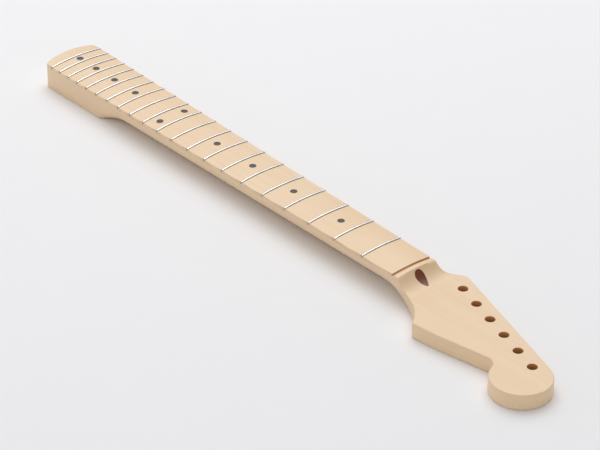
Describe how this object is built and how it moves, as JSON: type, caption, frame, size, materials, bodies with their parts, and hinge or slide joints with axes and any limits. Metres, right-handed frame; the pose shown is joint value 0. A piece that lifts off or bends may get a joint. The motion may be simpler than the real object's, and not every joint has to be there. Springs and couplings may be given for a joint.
{
  "type": "electric guitar neck",
  "caption": "Bolt-on electric guitar neck in one-piece maple with nickel frets, black dots, six-in-line tuner holes, walnut plug and stripe, and a truss rod that turns at the heel.",
  "frame": {"origin": "middle of the four heel screws, on the flat back of the heel", "axes": "+X along the neck to the headstock's tip, +Y to the bass side, +Z from the back to the fretboard"},
  "size_m": [0.6568, 0.0914, 0.0264],
  "materials": {
    "maple": "maple under thin clear satin-gloss lacquer",
    "fret_wire": "polished nickel silver",
    "position_dots": "black plastic sanded flush",
    "walnut": "dark walnut under thin clear lacquer",
    "truss_rod_steel": "plain steel",
    "plated_steel": "zinc-plated steel"
  },
  "bodies": {
    "neck_assembly": {"neck": "maple", "fret_01": "fret_wire", "fret_02": "fret_wire", "fret_03": "fret_wire", "fret_04": "fret_wire", "fret_05": "fret_wire", "fret_06": "fret_wire", "fret_07": "fret_wire", "fret_08": "fret_wire", "fret_09": "fret_wire", "fret_10": "fret_wire", "fret_11": "fret_wire", "fret_12": "fret_wire", "fret_13": "fret_wire", "fret_14": "fret_wire", "fret_15": "fret_wire", "fret_16": "fret_wire", "fret_17": "fret_wire", "fret_18": "fret_wire", "fret_19": "fret_wire", "fret_20": "fret_wire", "fret_21": "fret_wire", "face_dot_01": "position_dots", "face_dot_02": "position_dots", "face_dot_03": "position_dots", "face_dot_04": "position_dots", "face_dot_05": "position_dots", "face_dot_06": "position_dots", "face_dot_07": "position_dots", "face_dot_08": "position_dots", "face_dot_09": "position_dots", "face_dot_10": "position_dots", "side_dot_01": "position_dots", "side_dot_02": "position_dots", "side_dot_03": "position_dots", "side_dot_04": "position_dots", "side_dot_05": "position_dots", "side_dot_06": "position_dots", "side_dot_07": "position_dots", "side_dot_08": "position_dots", "side_dot_09": "position_dots", "side_dot_10": "position_dots", "headstock_plug": "walnut", "back_stripe": "walnut", "truss_rod": "truss_rod_steel", "truss_rod_anchor": "plated_steel", "truss_washer": "truss_rod_steel"},
    "truss_adjuster": {"truss_nut": "plated_steel"}
  },
  "joints": [
    {"name": "truss_nut_turn", "type": "hinge", "parent": "neck_assembly", "child": "truss_adjuster", "pos_m": [-0.0381, 0, 0.0127], "axis": [1, 0, 0], "range_deg": [-360, 360]}
  ]
}
